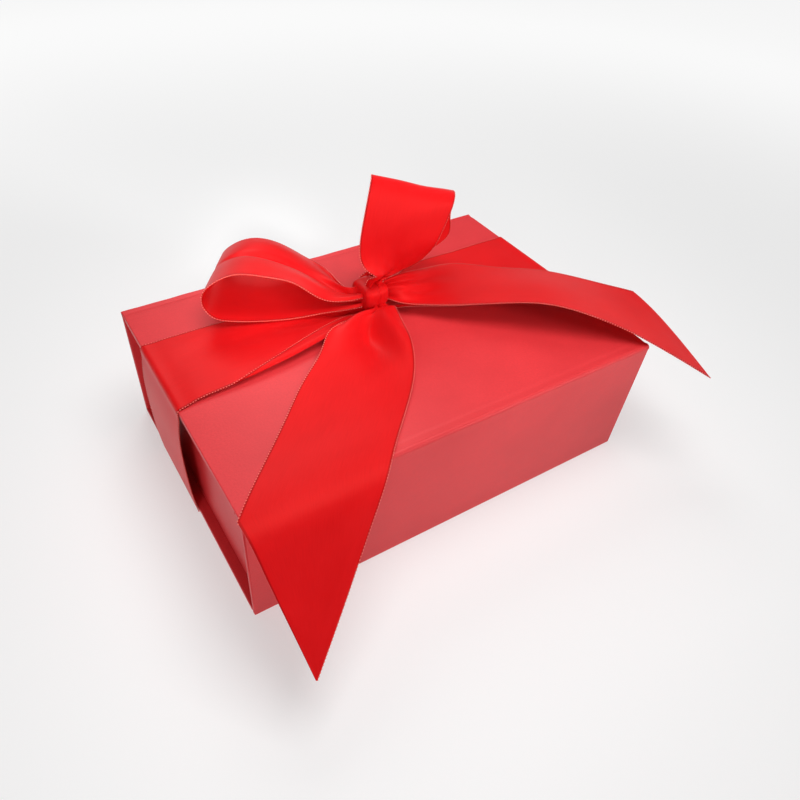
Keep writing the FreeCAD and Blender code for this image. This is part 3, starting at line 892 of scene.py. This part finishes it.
# %% The slanted cut, and the limp end
past_edge = -half_width - grid[:, :, 1]
cut_x = edge_low + (tip_x - edge_low) * np.interp(past_edge, fall_rows[:, 0], fall_rows[:, 2])
low_x = np.where(past_edge > 0, np.maximum(grid[:, :1, 0], cut_x), grid[:, :1, 0])
grid[:, :, 0] = np.where(past_edge > 0, low_x + (grid[:, -1:, 0] - low_x) * share, grid[:, :, 0])
facing = normals_of(grid)
split = int(np.argmax(past_edge[:, 0] > 0))
on_lid, limp_end = slice(0, split + 1), slice(split, None)
front_tail = ribbon_piece("ribbon_front_tail_satin", grid[on_lid], along[on_lid], share[on_lid], "ribbon",
                          "ribbon_front_tail", normals=facing[on_lid])
tail_end = ribbon_piece("ribbon_front_tail_cut", grid[limp_end], along[limp_end], share[limp_end], "ribbon",
                        "ribbon_front_tail_end", picots=(-1,), normals=facing[limp_end])
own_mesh(tail_end)

# %% [markdown]
# ### The right tail
#
# The right tail leaves the knot on edge, turns flat, and arches over the lid towards its front right
# corner. It hangs past the corner, with a slanted cut. Its front selvedge stands higher than the back
# one.

# %% The right tail
corner = np.array([half_length, -half_width, lid_top])
reach = corner - seat
tail_length = np.linalg.norm(reach)
to_corner = reach / tail_length
beside = np.array([-to_corner[1], to_corner[0], 0])
middle = ribbon_width / 2 - 1.5
tail_past = 34  # how far the tip hangs past the corner
right_rows = [  # distance out, offset across, height, tilt, share of the width
    (13, 6.8, 10.7, 34, 0.3),
    (24, 13.8, 8.6, 6, 0.58),
    (tail_length - 104, middle - 1.5, 7, -6, 0.94),
    (tail_length - 80, middle, 8.9, -11, 1),
    (tail_length - 55, middle, 11.3, -13, 1),
    (tail_length - 30, middle, 8.2, -11, 1),
    (tail_length - 14, middle, 4.6, -8, 1),
    (tail_length, middle, 0.6, -4, 1),
    (tail_length + tail_past, middle, -14, 0, 1),
]
stations = root(seat + np.array([knot_size[0] / 2, 0, 9.8]), (1, 0, 0), (0, 0.45, 0.9))
stations += [(seat + to_corner * out + beside * offset + np.array([0, 0, height]),
              tilted(beside, tilt), part * ribbon_width)
             for out, offset, height, tilt, part in right_rows]
cut_slant = 38  # how much longer the front selvedge is
cut_share = cut_slant / (tail_length + tail_past)
grid, along, share = ribbon_grid(stations, end_of=lambda u: 1 - cut_share * u)
grid = pleat(grid, along, share, 1.6, [(2, 0.3, 0.6), (3, 1.4, 0.4)])
grid = dent(grid, along, share, [(27, 9, 0.4, 0.18, -1.4), (85, 30, 0.5, 0.4, 0.8)])
right_tail = ribbon_piece("ribbon_right_tail_satin", grid, along, share, "ribbon", "ribbon_right_tail")

# %% [markdown]
# ### The knot
#
# The knot is one turn of ribbon, drawn tight over the middle of the bow from front to back. It is a
# barrel with rounded ends whose creases run the way the ribbon does: each layer of the turn ends in a
# small step on the right. It could be sculpted, but a barrel whose radius follows a rule keeps the
# creases even all the way round.

# %% The knot
ring_steps, slices = 72, 49
knot_lift = 0.6  # the loops under the turn raise it
knot_share = np.array([1.06, 1.06, 0.96])  # its size, as shares of the solid's
wound = 8  # mm of ribbon along the turn for each radian
end_round = 0.26  # share of the radius that the barrel loses at its ends
knot_steps = [  # place along the barrel, depth, slant
    (0.1, 0.06, 0.1),
    (0.52, 0.07, -0.08),
]
step_length = 0.1
crease_depth = 0.03
turns = np.linspace(0, 2 * math.pi, ring_steps, endpoint=False)[None, :]
slice_at = np.linspace(-1, 1, slices)[:, None]


def squared(value):
    """Turns a circle's sine or cosine to that of a rounded square."""
    return np.sign(value) * np.abs(value) ** 0.55


def step_up(value):
    """A soft step from 0 to 1."""
    t = np.clip(value, 0, 1)
    return t * t * (3 - 2 * t)


radius = 1 - end_round + end_round * np.sqrt(1 - slice_at ** 4) + 0 * turns
for place, depth, slant in knot_steps:
    past = slice_at - place - slant * np.cos(turns)
    crease = np.exp(-((past - step_length) / (step_length / 2)) ** 2)
    radius = radius * (1 - depth * step_up(past / step_length) - crease_depth * crease)
size = knot_size / 2 * knot_share
x_part = slice_at * size[0] + 0 * turns
y_part = radius * squared(np.cos(turns)) * size[1]
z_part = radius * squared(np.sin(turns)) * size[2]
points = (np.stack([x_part, y_part, z_part], axis=-1) + knot_middle + [0, 0, knot_lift]).reshape(-1, 3)
faces = joined_rings(ring_steps, len(points))
uv = np.stack([x_part.ravel() + ribbon_width / 2, np.tile(turns * wound, (slices, 1)).ravel()], axis=1)
knot_piece = new_piece("ribbon_knot_satin", points, faces, satin_ribbon, "ribbon", uv,
                       crisp=60)
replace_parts(knot_piece, "ribbon_knot")
print("knot in mm:", (2 * size).round(1))

# %% [markdown]
# ### Picots
#
# Both selvedges carry a row of tiny loops of thread. They repeat along a path, which is work for Geometry
# Nodes: the selvedge becomes a curve, the curve is resampled at the picots' pitch, and one small bead is
# placed at each point along it. They sit about 1.35 mm apart. Under the box they are pressed as thin as
# the ribbon.

# %% Picots
picot_pitch = 1.35
picot_size = 0.36


def picot_tree():
    """The node tree that sets beads of thread along a path."""
    tree = bpy.data.node_groups.new("picots_along_selvedge", "GeometryNodeTree")
    tree.interface.new_socket("Selvedge", in_out="INPUT", socket_type="NodeSocketGeometry")
    for name in ("Pitch", "Size"):
        tree.interface.new_socket(name, in_out="INPUT", socket_type="NodeSocketFloat")
    tree.interface.new_socket("Thread", in_out="INPUT", socket_type="NodeSocketMaterial")
    tree.interface.new_socket("Picots", in_out="OUTPUT", socket_type="NodeSocketGeometry")
    given = add(tree, "NodeGroupInput")
    path = add(tree, "GeometryNodeMeshToCurve", {"Mesh": given.outputs["Selvedge"]})
    spaced = add(tree, "GeometryNodeResampleCurve", {"Curve": path.outputs["Curve"],
                                                     "Length": given.outputs["Pitch"]}, mode="LENGTH")
    bead = add(tree, "GeometryNodeMeshIcoSphere", {"Radius": given.outputs["Size"], "Subdivisions": 1})
    placed = add(tree, "GeometryNodeInstanceOnPoints", {"Points": spaced.outputs["Curve"],
                                                        "Instance": bead.outputs["Mesh"]})
    solid = add(tree, "GeometryNodeRealizeInstances", {"Geometry": placed.outputs["Instances"]})
    smooth = add(tree, "GeometryNodeSetShadeSmooth", {"Geometry": solid.outputs["Geometry"]})
    threaded = add(tree, "GeometryNodeSetMaterial", {"Geometry": smooth.outputs["Geometry"],
                                                     "Material": given.outputs["Thread"]})
    add(tree, "NodeGroupOutput", {"Picots": threaded.outputs["Geometry"]})
    return tree


picot_nodes = picot_tree()
print("picot nodes:", len(picot_nodes.nodes))

# %% Picots on every selvedge
def picots(name, lines, body, size=picot_size):
    """The picots of some selvedges, as one plain mesh that rides on a body."""
    points, edges = [], []
    for line in lines:
        start = len(points)
        points += [tuple(p * mm) for p in line]
        edges += [(start + i, start + i + 1) for i in range(len(line) - 1)]
    mesh = bpy.data.meshes.new(name + "_path")
    mesh.from_pydata(points, edges, [])
    path = bpy.data.objects.new(name + "_path", mesh)
    show(path)
    maker = path.modifiers.new("picots", "NODES")
    maker.node_group = picot_nodes
    values = {"Pitch": picot_pitch * mm, "Size": size * mm, "Thread": picot_thread}
    for socket in picot_nodes.interface.items_tree:
        if socket.name in values:
            maker[socket.identifier] = values[socket.name]
    evaluated = path.evaluated_get(bpy.context.evaluated_depsgraph_get())
    made = bpy.data.meshes.new_from_object(evaluated)
    bpy.data.objects.remove(path)
    piece = bpy.data.objects.new(name, made)
    show(piece)
    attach(piece, body)
    print(name, len(made.polygons), "faces")
    return piece


limp = selvedges.pop("ribbon_front_tail_cut")
beneath = selvedges.pop("ribbon_under_box")
picots("ribbon_picots", [line for lines in selvedges.values() for line in lines], "ribbon")
picots("ribbon_under_picots", beneath, "ribbon_under", size=ribbon_thick / 2)
end_picots = picots("ribbon_cut_picots", limp, "ribbon")
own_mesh(end_picots)

# %% [markdown]
# ## The ground
#
# A plain pale floor under the box, so large that its edge is far off. Like a light table, it glows a
# little, and more away from the lamps, which keeps it white all over.

# %% The ground
floor_half = 6  # metres
floor_corners = [(x * floor_half, y * floor_half, 0) for x, y in ((-1, -1), (1, -1), (1, 1), (-1, 1))]
floor_mesh = bpy.data.meshes.new("floor")
floor_mesh.from_pydata(floor_corners, [], [(0, 1, 2, 3)])
floor_paint, floor_tree, floor_shader = finish_of("floor_paint")
place = add(floor_tree, "ShaderNodeTexCoord")
distance = add(floor_tree, "ShaderNodeVectorMath", {0: place.outputs["Object"]}, operation="LENGTH")
glow = add(floor_tree, "ShaderNodeMapRange", {"Value": distance.outputs["Value"], "From Min": 0.25,
                                              "From Max": 0.9, "To Min": 0.46, "To Max": 0.8},
           interpolation_type="SMOOTHSTEP")
fill(floor_tree, floor_shader, {"Base Color": linear("#C0C0C0"), "Roughness": 0.9,
                                "Emission Color": linear("#FFFFFF"),
                                "Emission Strength": glow.outputs["Result"]})
floor_mesh.materials.append(floor_paint)
floor = bpy.data.objects.new("floor", floor_mesh)
show(floor)
print("floor:", 2 * floor_half, "m wide")
